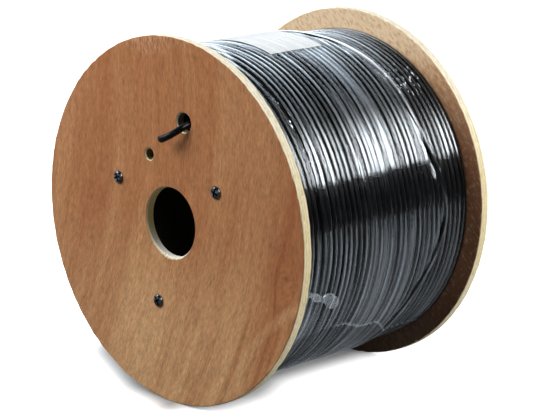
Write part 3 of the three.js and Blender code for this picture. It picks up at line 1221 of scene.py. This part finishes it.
def cross_recess(settings, place, top, turned):
    """Two crossed arms that narrow towards the bottom of the recess."""
    above, depth = 0.001, 0.0022
    half = settings.recess / 2
    arm = [
        (along * reach, level, across * width)
        for level, reach, width in ((-above, half, 0.0013), (depth, half * 0.6, 0.0008))
        for along, across in ((-1, -1), (1, -1), (1, 1), (-1, 1))
    ]
    faces = [(0, 1, 2, 3), (4, 5, 6, 7), (0, 1, 5, 4), (1, 2, 6, 5), (2, 3, 7, 6), (3, 0, 4, 7)]
    tools = []
    for quarter in (0, math.pi / 2):
        tool = new_object("recess", arm, faces)
        tool.data.transform(Matrix.Rotation(-turned - quarter, 4, "Y"))
        tool.data.transform(Matrix.Translation((place[0], top, place[1])))
        tools.append(tool)
    return tools


def make_bolt(name, settings, turned):
    """A domed head with a cross recess, a shank, and a thread at its end."""
    low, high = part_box(name)
    head = (high.x - low.x) / 2
    top, end = low.y, high.y
    seat = front_face - clearance
    rim_height = 0.0007
    dome = seat - top - rim_height
    rows = [(0.0001, top)]
    for step in range(1, 9):
        share = step / 8 * math.pi / 2
        rows.append((head * math.sin(share), top + dome * (1 - math.cos(share))))
    shank = settings.shank
    pitch, depth, point = 0.001, 0.0004, 0.0006
    y = end - settings.thread
    rows += [(head, seat), (shank, seat), (shank, y)]
    while y < end - 1.5 * pitch:
        rows += [(shank - depth, y + 0.35 * pitch), (shank, y + 0.7 * pitch)]
        y += pitch
    rows += [(shank, end - point), (shank - point, end)]
    place = middle_of(name)
    bolt = turned_object(name + "_steel", rows, 48, place, capped=True)
    return combine(bolt, cross_recess(settings, place, top, turned))


def make_washer(name):
    """A flat ring with broken edges."""
    (left, low, _), (right, high, _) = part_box(name)
    outer, inner = (right - left) / 2, 0.0033
    soft = 0.0003
    rows = [
        (outer - soft, low), (outer, low + soft), (outer, high - soft), (outer - soft, high),
        (inner + soft, high), (inner, high - soft), (inner, low + soft), (inner + soft, low),
    ]
    return turned_object(name + "_steel", rows, 64, middle_of(name))


def make_nut(name, settings):
    """A hexagon with bevelled corners and a bore with broken edges."""
    low, high = (corner.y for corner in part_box(name))
    place = middle_of(name)
    flat = settings.across_flats / 2
    corner = flat / math.cos(math.pi / 6)
    past = 0.0001
    bevel = (corner - flat) * 0.6
    bevel_rows = [
        (flat, low - past), (corner + past, low + bevel),
        (corner + past, high - bevel), (flat, high + past),
    ]
    inner = settings.shank + 0.0002
    mouth, flare, beyond = 0.0006, 0.002, 0.001
    bore_rows = [
        (inner + flare, low - beyond), (inner, low + mouth),
        (inner, high - mouth), (inner + flare, high + beyond),
    ]
    rows = [(corner, low), (corner, high)]
    nut = turned_object(name + "_steel", rows, 6, place, capped=True)
    combine(nut, [turned_object("bevel", bevel_rows, 64, place, capped=True)], "INTERSECT")
    return combine(nut, [turned_object("bore", bore_rows, 32, place, capped=True)])


class CABLEDRUM_OT_fasteners(bpy.types.Operator):
    """Build the tie bolts with their washers and nuts"""

    bl_idname = "cable_drum.fasteners"
    bl_label = "Bolts, Washers and Nuts"

    def execute(self, context):
        settings = context.scene.cable_drum.bolt
        head = front_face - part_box(bolt_names[0])[0].y
        black = metal("black_steel", settings.black, 0.1, 1, head)
        zinc = metal("zinc_steel", settings.zinc, 0.25, 6)
        recess_turns = (20, 70, 35)
        for name, turned in zip(bolt_names, recess_turns):
            bolt = make_bolt(name, settings, math.radians(turned))
            finish_piece(bolt, black, "black_steel", name)
            washer = name.replace("tie_bolt", "washer")
            finish_piece(make_washer(washer), zinc, "zinc_steel", washer)
            nut = name.replace("tie_bolt", "nut")
            finish_piece(make_nut(nut, settings), zinc, "zinc_steel", nut)
        return {"FINISHED"}


# Stage -------------------------------------------------------------------------------

def towards(azimuth, elevation):
    """A unit vector: azimuth 0 points to -Y and 90 degrees to +X."""
    level = math.cos(elevation)
    return Vector((math.sin(azimuth) * level, -math.cos(azimuth) * level, math.sin(elevation)))


def make_camera(settings):
    back = towards(settings.azimuth, settings.elevation)
    right = Vector((math.cos(settings.azimuth), math.sin(settings.azimuth), 0))
    middle = Vector((0, (front_inner + back_inner) / 2, 0))
    data = bpy.data.cameras.new("camera")
    data.lens = settings.focal_length
    data.sensor_width = 36
    camera = add_object("camera", data)
    camera.location = (middle + back * settings.distance + right * settings.side_step
                       - back.cross(right) * settings.drop)
    camera.rotation_euler = back.to_track_quat("Z", "Y").to_euler()
    bpy.context.scene.camera = camera


def softbox(name, azimuth, elevation, distance, width, height, power):
    """A rectangular lamp that faces the drum and isn't mirrored in it."""
    data = bpy.data.lights.new(name, "AREA")
    data.shape = "RECTANGLE"
    data.size = width
    data.size_y = height
    data.energy = power
    lamp = add_object(name, data)
    direction = towards(math.radians(azimuth), math.radians(elevation))
    lamp.location = direction * distance
    lamp.rotation_euler = direction.to_track_quat("Z", "Y").to_euler()
    lamp.visible_glossy = False


def make_floor(settings):
    """A wide pale disc, lifted to white for the camera away from the drum's shadow."""
    radius = 30
    points = [(radius * math.cos(a), radius * math.sin(a), floor_level) for a in ring_angles(96)]
    floor = new_object("floor", points, [list(range(len(points)))])
    tree = material_tree("floor")
    smooth = tree.smooth
    x, y, z = tree.place()
    cloud = tree.noise(x, y, z, scale=3)
    path = tree.node("ShaderNodeLightPath")
    seen = path["Is Camera Ray"]
    mirrored = tree.clamp(path["Is Glossy Ray"] + path["Is Transmission Ray"])
    # The shadow's soft edges: beside the front flange, right of the drum and behind it.
    inward = (x + 0.205) * 0.44 + (y + 0.087) * 0.9 - 0.016 * smooth(x, -0.08, 0)
    inward = smooth(inward, -0.02, 0.02)
    wider = smooth(abs(y - 0.165), 0.05, 0.01) * 0.018 + smooth(abs(y + 0.09), 0.09, 0.02) * 0.03
    beside = smooth(y, 0.04, -0.06)
    under = inward * smooth(x, -0.255, -0.175) * smooth(x - wider, 0.054, 0.006)
    under = under * smooth(y, 0.25, 0.17) * (1 - smooth(x, -0.01, -0.06) * (1 - beside))
    # The floor's colour is darker beside the front flange, as a painted shadow.
    left = inward * smooth(x, -0.25, -0.2) * smooth(x, 0.03, 0) * beside
    # The floor glows only in reflections, a painted reflection of lit floor: bright behind the
    # drum and to its right, and far left, with painted shadow near it.
    bright = smooth(y, -0.32, 0.2) * smooth(y, 0.85, 0.45) * (0.5 + 0.5 * smooth(x, 0.08, 0.22))
    bright = bright * (1 - 0.8 * smooth(y, 0.04, 0.13) * smooth(x, 0.15, 0.08))
    sheen = mirrored * (bright + 0.8 * smooth(x, -0.3, -0.6))
    lift = seen * (1 - 0.88 * under)
    pale = tree.mix(cloud * 0.1, settings.floor, scaled(settings.floor, 0.97))
    # Painted shadow beside the front flange.
    pale = tree.mix(left, pale, scaled(settings.floor, 0.28))
    floor.data.materials.append(tree.finish({
        "Base Color": tree.mix(seen, scaled(settings.floor, 0.09), pale),
        "Roughness": 0.9,
        "Emission Color": tree.vector(lift + sheen * 0.86, lift + sheen * 0.93, lift + sheen),
        "Emission Strength": 1,
    }))


def reflected_screen(name, points, faces, light):
    """A screen seen only in reflections. light gives its light for a shader tree."""
    screen = new_object(name, points, faces)
    tree = material_tree(name)
    screen.data.materials.append(tree.finish({
        "Base Color": (0.01, 0.01, 0.01, 1),
        "Roughness": 0.9,
        "Emission Color": light(tree),
        "Emission Strength": 1,
    }))
    for ray in ("camera", "diffuse", "shadow", "transmission"):
        setattr(screen, "visible_" + ray, False)


def tunnel_light(tree):
    """A bright strip at the right, grey overhead and dark low down on both sides."""
    x, y, z = tree.place()
    smooth = tree.smooth
    turn = tree.math("ARCTAN2", z, x) * (180 / math.pi)
    strip = 1.5 + 13.6 * smooth(turn, 60, 34) * (0.8 + 0.2 * smooth(turn, 20, 30))
    strip = strip + 0.5 * smooth(turn, 72, 88)
    strip = strip + 1.9 * smooth(turn, 86, 118) * smooth(turn, 162, 148)
    front = smooth(turn, 45, 80) * 0.9 - 1.2
    ends = smooth(y - front, -0.3, 0.05) * smooth(y, 3.0, 2.4)
    level = strip * smooth(turn, 20, 22.5) * smooth(turn, 170, 158) * ends
    level = level + 0.75 * smooth(turn, 158, 170)
    cool = 0.02 + 0.09 * smooth(turn, 58, 84)
    return tree.vector(level * (1 - cool), level, level * (1 + cool))


def make_tunnel():
    """A half tunnel of screens along the drum's axis, which the film mirrors."""
    radius = 1.9
    ends = np.array([[-6.0], [8.0]])
    angles = np.radians(np.linspace(-6.1, 186.1, 97))
    faces = grid_faces(len(ends), len(angles), close_rows=False, close_columns=False)
    reflected_screen("tunnel", turned_points(radius, ends, angles), faces, tunnel_light)


def card_light(tree):
    """Bright, a little less so towards the edges of the card."""
    x, _, _ = tree.place()
    level = 9 - 0.4 * abs(x)
    return tree.vector(level, level, level)


def make_card():
    """A small card at the front left, for the glint on the bolts' heads."""
    azimuth = math.radians(-48.5)
    middle = towards(azimuth, math.radians(22)) * 1.6
    half = Matrix.Rotation(azimuth, 3, "Z") @ Vector((0.26, 0, 0))
    up = Vector((0, 0, 0.2))
    corners = [middle - half - up, middle + half - up, middle + half + up, middle - half + up]
    reflected_screen("card", [tuple(corner) for corner in corners], [(0, 1, 2, 3)], card_light)


def make_world(settings):
    """White for the camera and in reflections. Its light falls mostly from the left."""
    world = bpy.data.worlds.new("studio")
    bpy.context.scene.world = world
    tree = ShaderTree(world)
    path = tree.node("ShaderNodeLightPath")
    seen = tree.clamp(
        path["Is Camera Ray"] + path["Is Glossy Ray"] + path["Is Transmission Ray"]
    )
    x, y, _ = tree.place("Generated")
    level = settings.world * (1 - 0.9 * tree.smooth(x * 0.85 - y * 0.53, -0.2, 0.6))
    light = level + seen * (1 - level)
    shader = tree.node("ShaderNodeBackground", {}, {"Color": tree.vector(light, light, light)})
    tree.node("ShaderNodeOutputWorld", {}, {"Surface": shader})


class CABLEDRUM_OT_stage(bpy.types.Operator):
    """Set up the camera, lamps, floor and world"""

    bl_idname = "cable_drum.stage"
    bl_label = "Stage"

    def execute(self, context):
        settings = context.scene.cable_drum.stage
        make_camera(settings)
        make_floor(settings)
        make_tunnel()
        make_card()
        make_world(settings)
        # Azimuth, elevation, distance, width, height and power.
        softbox("key", -35, 38, 2.2, 1.5, 1.5, 51)
        softbox("rim_light", 114, 24, 1.6, 0.6, 0.8, 17)
        softbox("low_rim_light", 113, -1, 1.6, 0.6, 0.14, 6)
        context.scene.view_settings.view_transform = "Standard"
        return {"FINISHED"}


# Add-on ------------------------------------------------------------------------------

class CABLEDRUM_PT_sidebar(bpy.types.Panel):
    """Lists the drum's pieces and settings"""

    bl_idname = "CABLEDRUM_PT_sidebar"
    bl_label = "Cable Drum"
    bl_space_type = "VIEW_3D"
    bl_region_type = "UI"
    bl_category = "Cable Drum"

    def draw(self, context):
        drum = context.scene.cable_drum
        groups = {
            "stage": (CABLEDRUM_OT_stage,),
            "flange": (CABLEDRUM_OT_flanges, CABLEDRUM_OT_barrel),
            "cable": (CABLEDRUM_OT_winding, CABLEDRUM_OT_tail),
            "wrap": (CABLEDRUM_OT_label, CABLEDRUM_OT_film),
            "bolt": (CABLEDRUM_OT_fasteners,),
        }
        for group, operators in groups.items():
            box = self.layout.box()
            for operator in operators:
                box.operator(operator.bl_idname)
            settings = getattr(drum, group)
            for name in settings.__annotations__:
                box.prop(settings, name)


classes = (
    FlangeSettings,
    CableSettings,
    WrapSettings,
    BoltSettings,
    StageSettings,
    DrumSettings,
    CABLEDRUM_OT_stage,
    CABLEDRUM_OT_tail,
    CABLEDRUM_OT_flanges,
    CABLEDRUM_OT_barrel,
    CABLEDRUM_OT_winding,
    CABLEDRUM_OT_label,
    CABLEDRUM_OT_film,
    CABLEDRUM_OT_fasteners,
    CABLEDRUM_PT_sidebar,
)


def register():
    for entry in classes:
        bpy.utils.register_class(entry)
    bpy.types.Scene.cable_drum = PointerProperty(type=DrumSettings)


def unregister():
    del bpy.types.Scene.cable_drum
    for entry in reversed(classes):
        bpy.utils.unregister_class(entry)


def main():
    register()
    for name in ("stage", "tail", "flanges", "barrel", "winding", "label", "film", "fasteners"):
        getattr(bpy.ops.cable_drum, name)()


if __name__ == "__main__":
    main()
